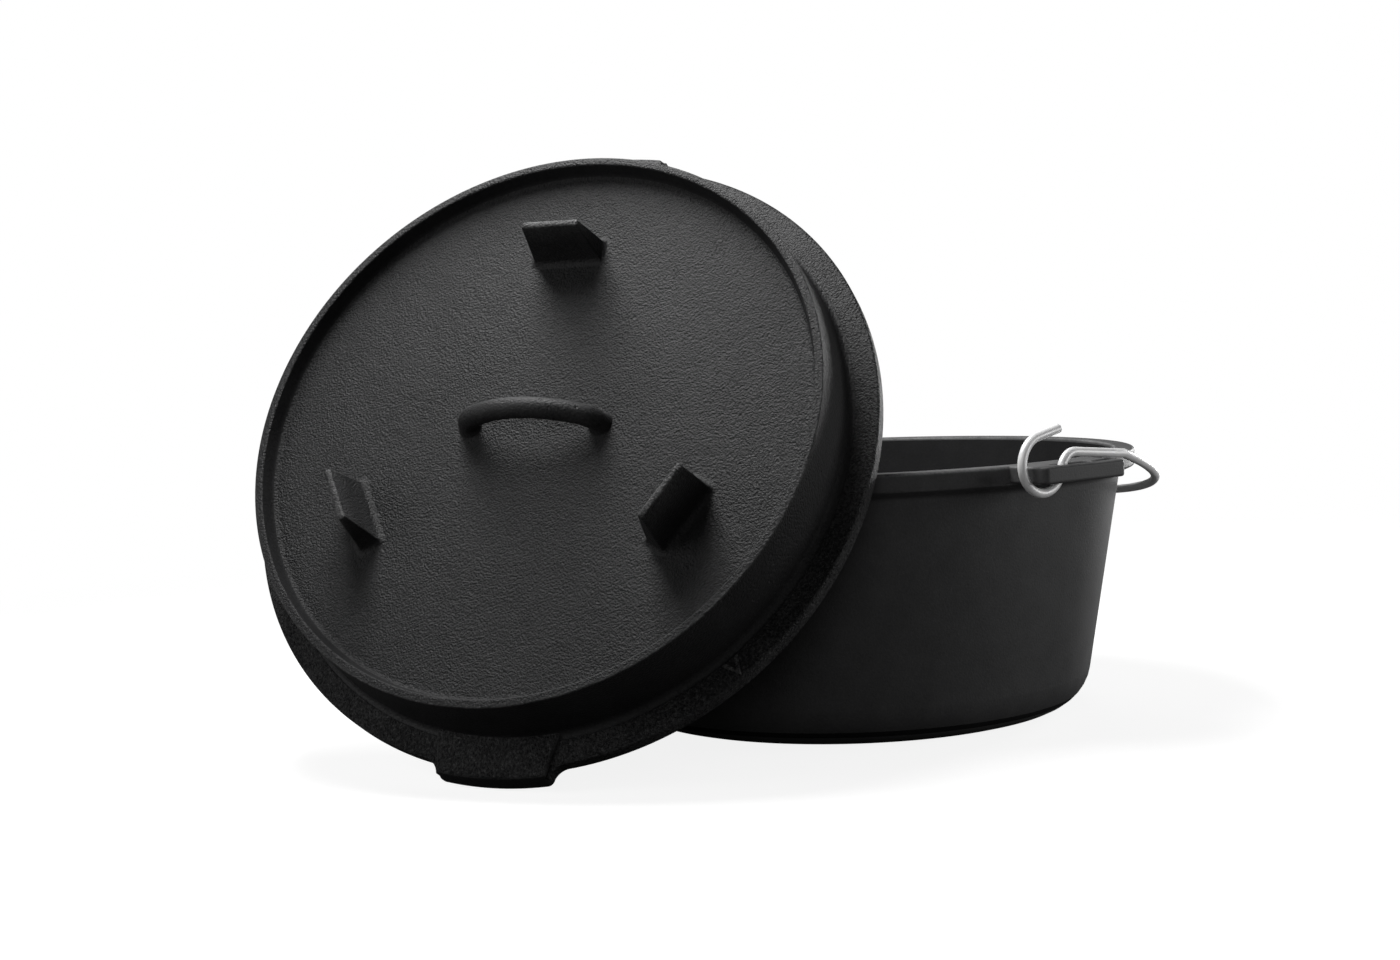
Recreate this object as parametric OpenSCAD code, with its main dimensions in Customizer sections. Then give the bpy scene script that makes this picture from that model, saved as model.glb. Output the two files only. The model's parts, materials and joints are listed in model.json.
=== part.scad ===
// Camp dutch oven: a cast pot with two slotted ears, a wire bail and a flanged, footed lid leaning on the pot.
// Millimetres, +Z up. The origin is the middle of the pot's flat base, on the floor.

/* [Pot] */
// outside radius of the rim band
rim_r = 157; // [150:0.5:165]
// height of the rim band
rim_h = 9; // [7:0.5:12]
// how far the rim band stands out from the wall under it
rim_step = 7.5; // [5:0.5:9]
// height of the slope under the rim band
rim_under = 3.5; // [2:0.5:6]
// height of the pot from the floor to the top of its rim
pot_h = 138; // [130:1:146]
// radius at which the sloping wall would meet the floor
base_r = 127; // [120:0.5:134]
// radius of the round corner between wall and base, outside
base_corner = 24.5; // [16:0.5:30]
// thickness of the wall
pot_wall = 5; // [4:0.25:7]
// thickness of the base
base_t = 6; // [5:0.25:9]
// bevel on the rim's top edges
rim_bevel = 1.2; // [0.5:0.1:2]

/* [Ears] */
// bearing of the front ear, from +X
ear_bearing = -48.4; // [-60:0.2:-40]
// reach of an ear beyond the rim band
ear_reach = 20; // [18:0.5:24]
// length of an ear along the rim
ear_len = 58.6; // [56:0.2:62]
// thickness of an ear, down from the top of the rim
ear_t = 8.4; // [7.8:0.1:8.8]
// corner radius of an ear, in plan
ear_corner = 4; // [2:0.5:6]
// bevel under the ends of an ear, which the hook's ring passes round
ear_bevel = 1.9; // [1.6:0.1:3]
// room beside the wire in the slot, each side
slot_play = 1.4; // [1:0.1:2]
// room between the hook's ring and the iron it hooks round
hook_play = 0.4; // [0.35:0.05:0.8]

/* [Bail] */
// diameter of the wire
wire_d = 4.6; // [4:0.1:5]
// radius of the hook's ring, to the middle of the wire
hook_r = 13.8; // [13.4:0.1:15]
// height of the ring's middle above the top of the rim
hook_lift = 0.6; // [0.2:0.1:1]
// how far the hook runs round its ring
hook_sweep = 258; // [240:1:262]
// length of the straight tip of the hook
hook_tip = 15; // [8:0.5:18]
// radius of the bend that lays the arm over the ear
bend_r = 9; // [7:0.1:11]
// height of the arm above the rim's top where it leaves the bend
arm_h = 5.2; // [5:0.1:6.5]
// slope of the arms where they lie over the ears, below level
arm_slope = 5.2; // [3:0.1:5.5]
// slope of the folded hoop, below level
bail_slope = 15.4; // [12:0.2:16]
// room between an ear's end and the place where arm and hoop meet
arm_past = 14; // [4:0.5:20]

/* [Lid] */
// outside radius of the flange
flange_r = 166; // [160:0.5:172]
// thickness of the flange
flange_t = 8.5; // [7:0.25:10]
// height of the lid from its underside to the top of its lip
lid_h = 44.5; // [40:0.5:50]
// outside radius of the lip at its top
lip_r = 149.3; // [146:0.1:152]
// width of the lip's top
lip_w = 4.2; // [3.5:0.1:6]
// how far the lip's inner wall leans in by the plate
lip_draft = 2; // [0.5:0.1:3]
// height of the lip above the plate
lip_rise = 9; // [7:0.5:12]
// how much wider the skirt is at the flange than at the lip
skirt_flare = 1.6; // [1:0.1:3]
// radius of the fillets where skirt meets flange and lip meets plate
lid_fillet = 3.5; // [2:0.25:4.5]
// bevel on the edges of the flange and the lip
edge_bevel = 0.9; // [0.5:0.1:1.5]
// thickness of the skirt and of the plate
lid_wall = 6; // [5:0.25:7.5]
// radius of the hollow's corner, under the plate
hollow_corner = 8; // [4:0.5:12]
// reach of a grip tab beyond the flange
tab_out = 7; // [6:0.2:10]
// width of a tab at its outer edge
tab_w = 57; // [48:0.5:64]
// extra half width of a tab where it meets the skirt
tab_flare = 5; // [3:0.5:8]
// radius of a tab's outer corners, in plan
tab_corner = 3.5; // [2:0.5:5]
// radius of the fillets where a tab leaves the flange's edge, in plan
tab_fillet = 5; // [3:0.5:8]
// how far a tab stands up from the flange
tab_rise = 1.8; // [1:0.1:2.6]
// length of the arrow mark on the flange
mark_len = 9.5; // [7:0.5:10]
// height of the arrow mark
mark_rise = 1; // [0.6:0.1:1.5]

/* [Loop handle and feet] */
// half the span of the loop, to the middle of its bar
loop_half = 35; // [30:0.5:40]
// rise of the loop above the plate, to the middle of its bar
loop_rise = 18.5; // [16:0.5:24]
// radius of the loop's shoulders
loop_shoulder = 12; // [9:0.5:14]
// diameter of the loop's bar
loop_d = 10.5; // [8:0.5:13]
// radius of the ring on which the feet stand
foot_r = 99.3; // [92:0.1:110]
// height of a foot above the plate
foot_h = 27.5; // [20:0.5:32]
// thickness of a foot at the plate
foot_root = 11; // [9:0.5:16]
// thickness of a foot at its tip
foot_tip = 3.4; // [2.6:0.2:5]
// length of a foot along its ring, at the plate
foot_len = 37.4; // [32:0.2:46]
// how much a foot's ends draw in, each, by its tip
foot_draw = 3.5; // [2:0.5:6]

/* [Lean of the lid] */
// slope of the leaning lid, from the floor
lean = 59.2; // [54:0.2:66]
// bearing of the lean: 0 leans squarely to the front, minus turns the lid to the left
lean_bearing = -18.1; // [-24:0.1:-10]
// how far the lid stands to the left of the pot's middle
lean_side = 99; // [80:0.5:106]
// turn of the lid about its own axis
lid_turn = 0; // [-3:0.1:3]
// air left between the lid and the rim it leans on
lean_gap = 0.35; // [0.3:0.05:1]

/* [Hidden] */
$fn = 96;
over = 1;
joint_swell = 0.12;

// pot: wall line, corner and mouth
wall_top = rim_r - rim_step;
wall_z = pot_h - rim_h;
taper = atan((wall_top - base_r) / wall_z);
corner_in = base_corner - pot_wall;
function wall_at(z) = base_r + z * tan(taper);
function bore_at(z) = wall_at(z) - pot_wall / cos(taper);

// ears: the slot takes the hook's ring, and the bridge beside the slot sits inside the ring
ear_r = rim_r + ear_reach;
ring_in = hook_r - wire_d / 2 - hook_play;
hinge_z = pot_h + hook_lift;
end_y = sqrt(pow(ring_in, 2) - pow(ear_t - ear_bevel + hook_lift, 2));
under_y = sqrt(pow(ring_in, 2) - pow(ear_t + hook_lift, 2));
hinge_y = -ear_len / 2 + end_y;
slot_w = wire_d + 2 * slot_play;
slot_x = rim_r + ear_reach / 2 + 0.5;
slot_y0 = hinge_y + under_y;
slot_y1 = -slot_y0;

// bail: the bend over the ear, the arm beside it and the hoop, which meet just past the ear's end
bend_lean = asin((bend_r * cos(arm_slope) + hook_lift - arm_h) / (hook_r + bend_r));
bend_y = hinge_y + (hook_r + bend_r) * cos(bend_lean);
bend_z = hinge_z - (hook_r + bend_r) * sin(bend_lean);
bend_end = [bend_y + bend_r * sin(arm_slope), bend_z + bend_r * cos(arm_slope)];
arm_len = (ear_len / 2 + arm_past - bend_end[0]) / cos(arm_slope);
arm_turn = asin(arm_len / slot_x);
arm_end = [bend_end[0] + arm_len * cos(arm_slope), bend_end[1] - arm_len * sin(arm_slope)];

// tabs: a flank's slope, its outer corner, and the fillet that leads it into the flange's edge
flank = atan(tab_flare / (flange_r + tab_out - lip_r));
function on_flank(side, r) = let (t = tan(flank), tr = flange_r + tab_out, q = tr - side * t)
    (q - sqrt(pow(q, 2) - (1 + t * t) * (side * side + tr * tr - r * r))) / (1 + t * t);
corner_side = tab_w / 2 - tab_corner / cos(flank);
corner_s = on_flank(corner_side, flange_r + tab_out - tab_corner);
corner_at = [corner_side + corner_s * tan(flank), corner_s - flange_r - tab_out];
corner_out = corner_at * (flange_r + tab_out) / (flange_r + tab_out - tab_corner);
flank_in = corner_at + tab_corner * [cos(flank), -sin(flank)];
fillet_side = tab_w / 2 + tab_fillet / cos(flank);
fillet_s = on_flank(fillet_side, flange_r + tab_fillet);
fillet_at = [fillet_side + fillet_s * tan(flank), fillet_s - flange_r - tab_out];
flank_out = fillet_at - tab_fillet * [cos(flank), -sin(flank)];
edge_at = fillet_at * flange_r / (flange_r + tab_fillet);

// lid: the hollow under it and the place where it leans
hollow_r = lip_r + skirt_flare - lid_wall;
plate_z = lid_h - lip_rise;
hollow_z = plate_z - lid_wall;
tab_r = flange_r + tab_out;
tab_low = tab_r;
lid_z = tab_low * sin(lean);
rise_gap = pot_h - rim_bevel - lid_z;
pass_r = hollow_r - lean_gap;
function lid_u(a) = rim_r * sin(a) + lean_side;
function k_plane(a) = rim_r * cos(a) + (lean_gap + rise_gap * cos(lean)) / sin(lean);
function half_v(a) = sqrt(max(0, pow(pass_r, 2) - pow(lid_u(a), 2)));
function k_edge(a) = rim_r * cos(a) - (rise_gap * sin(lean) + half_v(a)) / cos(lean);
function k_far(a) = rim_r * cos(a) - (rise_gap * sin(lean) - half_v(a)) / cos(lean);
function k_deep(a) = rim_r * cos(a) - (hollow_z - lean_gap - rise_gap * cos(lean)) / sin(lean);
function is_open(a) = abs(lid_u(a)) < pass_r && k_far(a) >= k_plane(a);
function k_need(a) = is_open(a) ? min(k_plane(a), max(k_edge(a), k_deep(a))) : k_plane(a);
lean_out = max([for (a = [-60:0.25:60]) k_need(a)]);

module place_lid() {
    rotate([0, 0, lean_bearing])
        translate([-lean_side, -lean_out, lid_z])
            rotate([lean, 0, 0])
                rotate([0, 0, lid_turn])
                    children();
}

// outside of the pot's body, as a half section
module pot_outside() {
    cx = base_r + base_corner * tan(taper) - base_corner / cos(taper);
    tz = base_corner * (1 - sin(taper));
    polygon([
        [0, 0],
        [cx, 0],
        [wall_at(tz), tz],
        [wall_at(wall_z - rim_under), wall_z - rim_under],
        [rim_r, wall_z],
        [rim_r, pot_h - rim_bevel],
        [rim_r - rim_bevel, pot_h],
        [0, pot_h]
    ]);
    translate([cx, base_corner])
        circle(r = base_corner);
}

// hollow of the pot, as a half section
module pot_inside() {
    cx = base_r + base_corner * tan(taper) - base_corner / cos(taper);
    cz = base_t + corner_in;
    tz = cz - corner_in * sin(taper);
    difference() {
        union() {
            polygon([
                [0, base_t],
                [cx + (cz - base_corner) * tan(taper), base_t],
                [bore_at(tz), tz],
                [bore_at(pot_h - rim_bevel), pot_h - rim_bevel],
                [bore_at(pot_h) + rim_bevel, pot_h],
                [bore_at(pot_h) + rim_bevel, pot_h + over],
                [0, pot_h + over]
            ]);
            translate([bore_at(tz) - corner_in * cos(taper), cz])
                circle(r = corner_in);
        }
        translate([-2 * base_corner, 0])
            square([2 * base_corner, pot_h]);
    }
}

module ear_plan() {
    y = ear_len / 2;
    difference() {
        union() {
            translate([0, -y])
                square([ear_r - ear_corner, ear_len]);
            translate([0, -y + ear_corner])
                square([ear_r, ear_len - 2 * ear_corner]);
            for (s = [-1, 1])
                translate([ear_r - ear_corner, s * (y - ear_corner)])
                    circle(r = ear_corner);
        }
        for (s = [slot_y0 + slot_w / 2, slot_y1 - slot_w / 2])
            translate([slot_x, s])
                circle(d = slot_w);
        translate([slot_x - slot_w / 2, slot_y0 + slot_w / 2])
            square([slot_w, slot_y1 - slot_y0 - slot_w]);
    }
}

// an ear seen from the side: its outer top edge is bevelled
module ear_side() {
    low = pot_h - ear_t;
    polygon([
        [0, low],
        [ear_r, low],
        [ear_r, pot_h - rim_bevel],
        [ear_r - rim_bevel, pot_h],
        [0, pot_h]
    ]);
}

// an ear seen from its outer end: its ends are bevelled below
module ear_end() {
    low = pot_h - ear_t;
    y = ear_len / 2;
    polygon([
        [-y + ear_bevel, low],
        [y - ear_bevel, low],
        [y, low + ear_bevel],
        [y, pot_h],
        [-y, pot_h],
        [-y, low + ear_bevel]
    ]);
}

module ear() {
    intersection() {
        linear_extrude(pot_h + over)
            ear_plan();
        translate([0, ear_len, 0])
            rotate([90, 0, 0])
                linear_extrude(2 * ear_len)
                    ear_side();
        rotate([90, 0, 90])
            linear_extrude(ear_r + over)
                ear_end();
    }
}

module pot() {
    color([0.10, 0.10, 0.10])
        difference() {
            union() {
                rotate_extrude()
                    pot_outside();
                rotate([0, 0, ear_bearing])
                    for (m = [0, 1])
                        mirror([m, 0, 0])
                            ear();
            }
            rotate_extrude()
                pot_inside();
        }
}

// a length of wire along +Z, with a ball that closes the joint with the bend before it
module straight(d, h) {
    cylinder(d = d, h = h);
    sphere(d = d + joint_swell);
}

// a bend in the XY plane, from angle a to angle b
module bend(r, d, a, b) {
    rotate([0, 0, a])
        rotate_extrude(angle = b - a)
            translate([r, 0])
                circle(d = d);
}

// turns the XY plane upright: x along +Y, y along +Z
module upright() {
    rotate([0, 90, 0])
        rotate([0, 0, 90])
            children();
}

// the wire on the +X side: hook, bend over the ear, and arm
module bail_side() {
    translate([slot_x, hinge_y, hinge_z]) {
        upright()
            bend(hook_r, wire_d, -hook_sweep, -bend_lean);
        rotate([-hook_sweep, 0, 0])
            translate([0, hook_r, 0])
                rotate([180, 0, 0])
                    straight(wire_d, hook_tip);
        rotate([-bend_lean, 0, 0])
            translate([0, hook_r, 0])
                sphere(d = wire_d + joint_swell);
    }
    translate([slot_x, bend_y, bend_z])
        upright()
            bend(bend_r, wire_d, 90 - arm_slope, 180 - bend_lean);
    translate([slot_x, bend_end[0], bend_end[1]])
        sphere(d = wire_d + joint_swell);
    translate([slot_x * cos(arm_turn), arm_end[0], arm_end[1]])
        sphere(d = wire_d + joint_swell);
    translate([0, bend_end[0], bend_end[1]])
        rotate([-arm_slope, 0, 0])
            bend(slot_x, wire_d, 0, arm_turn);
}

module bail() {
    color([0.72, 0.73, 0.74])
        rotate([0, 0, ear_bearing]) {
            for (m = [0, 1])
                mirror([m, 0, 0])
                    bail_side();
            translate([0, arm_end[0], arm_end[1]])
                rotate([-bail_slope, 0, 0])
                    translate([0, -slot_x * sin(arm_turn), 0])
                        bend(slot_x, wire_d, arm_turn, 180 - arm_turn);
        }
}

// the lid's round body, as a half section with the flange's underside at zero
module lid_section() {
    skirt_r = lip_r + skirt_flare;
    slope = atan(skirt_flare / (lid_h - flange_t));
    inner = lip_r - lip_w;
    draw = atan(lip_draft / lip_rise);
    ix = inner - lip_draft + lid_fillet * tan(draw) - lid_fillet / cos(draw);
    iz = plate_z + lid_fillet;
    fx = skirt_r + lid_fillet * (1 - sin(slope)) / cos(slope);
    fz = flange_t + lid_fillet;
    difference() {
        polygon([
            [0, hollow_z],
            [hollow_r - hollow_corner, hollow_z],
            [hollow_r, hollow_z - hollow_corner],
            [hollow_r, 0],
            [flange_r - edge_bevel, 0],
            [flange_r, edge_bevel],
            [flange_r, flange_t - edge_bevel],
            [flange_r - edge_bevel, flange_t],
            [fx, flange_t],
            [fx - lid_fillet * cos(slope), fz - lid_fillet * sin(slope)],
            [lip_r + edge_bevel * tan(slope), lid_h - edge_bevel],
            [lip_r - edge_bevel, lid_h],
            [inner + edge_bevel, lid_h],
            [inner - edge_bevel * tan(draw), lid_h - edge_bevel],
            [ix + lid_fillet * cos(draw), iz - lid_fillet * sin(draw)],
            [ix, plate_z],
            [0, plate_z]
        ]);
        translate([hollow_r - hollow_corner, hollow_z - hollow_corner])
            circle(r = hollow_corner);
        translate([fx, fz])
            circle(r = lid_fillet);
        translate([ix, iz])
            circle(r = lid_fillet);
    }
}

// a tab in plan: sloping flanks, an outer edge round the lid's axis, and round corners
module tab_plan() {
    intersection() {
        circle(r = tab_r);
        union() {
            polygon([
                [-tab_w / 2 - tab_flare, -lip_r],
                [-flank_in[0], flank_in[1]],
                [-corner_out[0], corner_out[1]],
                [-corner_out[0], -tab_r - over],
                [corner_out[0], -tab_r - over],
                corner_out,
                flank_in,
                [tab_w / 2 + tab_flare, -lip_r]
            ]);
            for (m = [0, 1])
                mirror([m, 0])
                    translate(corner_at)
                        circle(r = tab_corner);
        }
    }
}

// the fillet between a tab's flank and the flange's edge, in plan
module tab_web() {
    difference() {
        polygon([
            [flank_out[0] - tab_corner, flank_out[1]],
            flank_out,
            edge_at,
            [edge_at[0] * 0.96, edge_at[1] * 0.96]
        ]);
        translate(fillet_at)
            circle(r = tab_fillet);
    }
}

module tab() {
    linear_extrude(flange_t + tab_rise)
        tab_plan();
    for (m = [0, 1])
        mirror([m, 0, 0])
            translate([0, 0, edge_bevel])
                linear_extrude(flange_t - 2 * edge_bevel)
                    tab_web();
}

module loop() {
    gap = loop_half - loop_shoulder;
    top_r = (pow(gap, 2) + pow(loop_rise, 2) - pow(loop_shoulder, 2)) / (2 * (loop_rise - loop_shoulder));
    drop = top_r - loop_rise;
    open = atan(gap / drop);
    translate([0, 0, plate_z])
        rotate([90, 0, 0]) {
            for (m = [0, 1])
                mirror([m, 0, 0]) {
                    translate([gap, 0, 0])
                        bend(loop_shoulder, loop_d, 0, 90 - open);
                    translate([loop_half, 0, 0])
                        rotate([90, 0, 0])
                            straight(loop_d, lid_wall / 2);
                    translate([gap + loop_shoulder * sin(open), loop_shoulder * cos(open), 0])
                        sphere(d = loop_d + joint_swell);
                }
            translate([0, -drop, 0])
                bend(top_r, loop_d, 90 - open, 90 + open);
        }
}

module foot() {
    half = asin(foot_len / 2 / foot_r) + 2;
    tilt = atan(foot_draw / foot_h);
    difference() {
        rotate([0, 0, 90 - half])
            rotate_extrude(angle = 2 * half)
                polygon([
                    [foot_r - foot_root / 2, -1],
                    [foot_r + foot_root / 2, -1],
                    [foot_r + foot_root / 2, 0.6],
                    [foot_r + foot_tip / 2, foot_h],
                    [foot_r - foot_tip / 2, foot_h],
                    [foot_r - foot_root / 2, 0.6]
                ]);
        for (m = [0, 1])
            mirror([m, 0, 0])
                translate([foot_len / 2, 0, 0])
                    rotate([0, -tilt, 0])
                        translate([0, foot_r - 2 * foot_root, -foot_h])
                            cube([foot_len, 4 * foot_root, 3 * foot_h]);
    }
}

module mark() {
    linear_extrude(mark_rise + 1)
        for (s = [-1, 1])
            polygon([
                [flange_r - 1.2, 0],
                [flange_r - 1.2 - mark_len, s * 4.6],
                [flange_r - 1.2 - mark_len, s * 2.4],
                [flange_r - 5, 0]
            ]);
}

module lid() {
    color([0.12, 0.12, 0.12])
        place_lid()
            union() {
                rotate_extrude()
                    lid_section();
                for (a = [0, 180])
                    rotate([0, 0, a])
                        tab();
                loop();
                for (a = [0, 120, 240])
                    rotate([0, 0, a])
                        translate([0, 0, plate_z])
                            foot();
                rotate([0, 0, -45])
                    translate([0, 0, flange_t - 1])
                        mark();
            }
}

pot();
lid();
bail();
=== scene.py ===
# %% [markdown]
# # A camp dutch oven, leaning lid and all
# This lesson dresses a finished engineering model: a cast-iron pot, its wire bail and a loose lid
# that leans on the rim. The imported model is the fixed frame. It gives the bodies that move, and
# everything made here rides on one of them. Lengths of the oven are written in millimetres, as on a
# drawing, and turned into metres once.

# %% Load the frame
import json
import math
import bmesh
import bpy
from mathutils import Matrix, Vector
from mathutils.geometry import tessellate_polygon

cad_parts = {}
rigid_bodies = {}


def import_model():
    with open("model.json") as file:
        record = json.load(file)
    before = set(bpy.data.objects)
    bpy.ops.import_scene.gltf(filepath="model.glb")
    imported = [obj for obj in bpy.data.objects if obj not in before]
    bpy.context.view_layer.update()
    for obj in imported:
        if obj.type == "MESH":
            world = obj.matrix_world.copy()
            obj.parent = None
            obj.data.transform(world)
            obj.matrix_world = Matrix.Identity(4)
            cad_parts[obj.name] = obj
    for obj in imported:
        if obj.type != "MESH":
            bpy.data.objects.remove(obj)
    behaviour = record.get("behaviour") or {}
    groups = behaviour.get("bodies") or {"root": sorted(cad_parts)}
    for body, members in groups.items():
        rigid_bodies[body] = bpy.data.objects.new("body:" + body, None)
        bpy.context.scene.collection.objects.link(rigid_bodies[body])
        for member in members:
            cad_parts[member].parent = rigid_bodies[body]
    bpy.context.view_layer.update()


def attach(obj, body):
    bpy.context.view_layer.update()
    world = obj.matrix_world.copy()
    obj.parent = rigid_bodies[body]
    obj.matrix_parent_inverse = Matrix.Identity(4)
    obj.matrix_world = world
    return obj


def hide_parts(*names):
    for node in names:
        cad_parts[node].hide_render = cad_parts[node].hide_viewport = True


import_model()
MM = 0.001


# %% [markdown]
# ## Camera
# The camera stands as it did for the photo: low, a little over a metre away, turned slightly to the
# left and rolled by two degrees. Three angles typed into the camera's rotation would do, but their
# order is easy to get wrong. A camera looks along its own -Z, so its three axes are worked out here
# and set as the columns of a matrix.

# %% Camera
IMAGE_WIDTH, FOCAL_PIXELS = 1400, 2109.7
SENSOR_WIDTH = 36.0
CLIP_START, CLIP_END = 0.02, 50.0
CAMERA_AT = Vector((0.0, -1153.5, 212.0)) * MM
YAW, PITCH, ROLL = -0.0674, 0.0733, -0.0424


def new_object(name, data):
    obj = bpy.data.objects.new(name, data)
    bpy.context.collection.objects.link(obj)
    return obj


level_ahead = Vector((math.sin(YAW), math.cos(YAW), 0.0))
ahead = level_ahead * math.cos(PITCH) - Vector((0.0, 0.0, math.sin(PITCH)))
level = Vector((math.cos(YAW), -math.sin(YAW), 0.0))
above = level.cross(ahead)
right = level * math.cos(ROLL) + above * math.sin(ROLL)
upward = above * math.cos(ROLL) - level * math.sin(ROLL)
camera_data = bpy.data.cameras.new("studio_camera")
camera_data.sensor_fit = "HORIZONTAL"
camera_data.sensor_width = SENSOR_WIDTH
camera_data.lens = FOCAL_PIXELS / IMAGE_WIDTH * SENSOR_WIDTH
camera_data.clip_start, camera_data.clip_end = CLIP_START, CLIP_END
camera = new_object("studio_camera", camera_data)
turn = Matrix((right, upward, -ahead)).transposed().to_4x4()
camera.matrix_world = Matrix.Translation(CAMERA_AT) @ turn
bpy.context.scene.camera = camera
print("lens:", round(camera_data.lens, 2), "mm")

# %% [markdown]
# ## Where the pieces stand
# The pot stands on the origin. The ears and the bail sit at an odd angle to it. They could be drawn
# there, but a drawing along X is easier to read and to mirror, so they are drawn that way and then
# turned by the ears' bearing. The lid is drawn lying flat, with its top side up, and one matrix
# stands it on its tab against the rim.

# %% Placing
EAR_BEARING = -48.4
LEAN, LEAN_BEARING = 59.2, -18.1
LEAN_SIDE, LEAN_OUT, LID_Z = 99.0, 143.712, 148.6


def about(axis, degrees):
    return Matrix.Rotation(math.radians(degrees), 4, axis)


as_drawn = Matrix.Identity(4)
on_ears = about("Z", EAR_BEARING)
lid_stand = Matrix.Translation((-LEAN_SIDE, -LEAN_OUT, LID_Z))
on_lid = about("Z", LEAN_BEARING) @ lid_stand @ about("X", LEAN)
in_metres = Matrix.Scale(MM, 4)
lid_in_metres = in_metres @ on_lid @ in_metres.inverted()
to_flat = lid_in_metres.inverted()
lid_axis = (on_lid.to_3x3() @ Vector((0, 0, 1))).normalized()
print("lid axis:", [round(c, 3) for c in lid_axis])

# %% [markdown]
# ## Helpers for cast shapes
# Iron poured in sand has no knife edges, so every corner here is rounded. A Bevel modifier could do
# that, but it treats all edges alike. Here a drawing is a list of corners, each with its own radius.
# The helper replaces a corner by an arc and keeps a wear value: outer edges lose their dark
# seasoning first, and the iron's finish reads that value later as an attribute of the mesh.

# %% Rounded drawings
ARC_STEP = math.radians(11)
GUARD = 0.4


def rounded(corners, closed, guard=0.0):
    """Corners (x, y, radius, wear, grain) to points (x, y, wear, grain), with arcs at the corners.

    A guard adds a point on the straight beside each end of an arc, to keep its shading flat."""
    points = []
    count = len(corners)
    for i, (x, y, radius, wear, grain) in enumerate(corners):
        here = Vector((x, y))
        if radius <= 0 or (not closed and i in (0, count - 1)):
            points.append((x, y, wear, grain))
            continue
        back = (Vector(corners[i - 1][:2]) - here).normalized()
        on = (Vector(corners[(i + 1) % count][:2]) - here).normalized()
        half = back.angle(on) / 2
        reach = radius / math.tan(half)
        middle = here + (back + on).normalized() * (radius / math.sin(half))
        start, end = here + back * reach - middle, here + on * reach - middle
        sweep = start.angle_signed(end)
        steps = max(2, math.ceil(abs(sweep) / ARC_STEP))
        first = math.atan2(start.y, start.x)
        before, after = here + back * (reach + guard), here + on * (reach + guard)
        points += [(before.x, before.y, 0.0, grain)] if guard else []
        for k in range(steps + 1):
            a = first - sweep * k / steps
            spot = (middle.x + radius * math.cos(a), middle.y + radius * math.sin(a))
            points.append((*spot, wear * math.sin(math.pi * k / steps), grain))
        points += [(after.x, after.y, 0.0, grain)] if guard else []
    return points


sample = rounded([(0, 0, 0, 0, 0), (10, 0, 2, 1, 0), (10, 10, 0, 0, 0)], closed=False)
print("an arc at one corner makes", len(sample), "points")

# %% [markdown]
# A mesh under construction is held in a bmesh. All castings here are stacks of rings: equal rings of
# points, joined by quads. Each point carries its wear and its grain. The last helper closes a piece,
# turns its faces outwards and shades it smooth but for its creases.

# %% Mesh helpers
MERGE_DIST = 1e-4
TURNED_CREASE, FLAT_CREASE, BAR_CREASE = 32, 40, 50


def new_bmesh():
    bm = bmesh.new()
    # The wear value also carries painted light and a painted reflection on the lid's flange.
    layers = {key: bm.verts.layers.float.new(key) for key in ("wear", "grain")}
    return bm, layers


def add_point(bm, layers, place, wear, grain):
    v = bm.verts.new(place)
    v[layers["wear"]], v[layers["grain"]] = wear, grain
    return v


def stack(bm, rings, capped=False):
    """Quads from ring to ring, and a face at each end if it is capped."""
    for lower, upper in zip(rings, rings[1:]):
        for i in range(len(lower)):
            j = (i + 1) % len(lower)
            bm.faces.new((lower[i], lower[j], upper[j], upper[i]))
    for ring in (rings[0], rings[-1]) if capped else ():
        bm.faces.new(ring)


def finished(bm, name, matrix, crease):
    """Closes up a bmesh, puts it in place and returns it as an object at the origin."""
    bmesh.ops.remove_doubles(bm, verts=bm.verts, dist=MERGE_DIST)
    bmesh.ops.recalc_face_normals(bm, faces=bm.faces)
    bm.transform(in_metres @ matrix)
    mesh = bpy.data.meshes.new(name)
    bm.to_mesh(mesh)
    bm.free()
    mesh.shade_smooth()
    mesh.set_sharp_from_angle(angle=math.radians(crease))
    return new_object(name, mesh)


print("creases from", TURNED_CREASE, "to", BAR_CREASE, "degrees")

# %% [markdown]
# Round castings are turned. Blender's Screw modifier turns a line as well, but it knows nothing of
# wear and leaves poles to clean up, so the rings are written out here, with a fan at each pole.

# %% Turned castings
TURN_STEPS = 240


def lathe(name, corners, matrix):
    """Turns a half section round Z. The section starts and ends on the axis."""
    bm, layers = new_bmesh()
    angles = [2 * math.pi * k / TURN_STEPS for k in range(TURN_STEPS)]
    rings = []
    for r, z, wear, grain in rounded(corners, closed=False, guard=GUARD):
        spots = [(r * math.cos(a), r * math.sin(a), z) for a in angles] if r > 0 else [(0, 0, z)]
        rings.append([add_point(bm, layers, p, wear, grain) for p in spots])
    for low, high in zip(rings, rings[1:]):
        if len(low) == len(high):
            stack(bm, (low, high))
            continue
        tip, ring = (low[0], high) if len(low) == 1 else (high[0], low)
        for i in range(TURN_STEPS):
            bm.faces.new((tip, ring[i], ring[(i + 1) % TURN_STEPS]))
    return finished(bm, name, matrix, TURNED_CREASE)


print("a turned casting has", TURN_STEPS, "steps round its axis")

# %% [markdown]
# Flat castings such as ears and tabs are an outline, drawn in at several levels so that the edges
# come out round. An extruded curve with a bevel would look alike, but here holes, sloped edges and
# wear come from the same few lines.

# %% Flat castings
QUARTER = [k * math.pi / 8 for k in range(5)]
GUARD_SHARE, SLOPE_GUARD, EASE = 0.3, 0.1, 0.1
LEAST_STRETCH = 0.5


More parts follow.
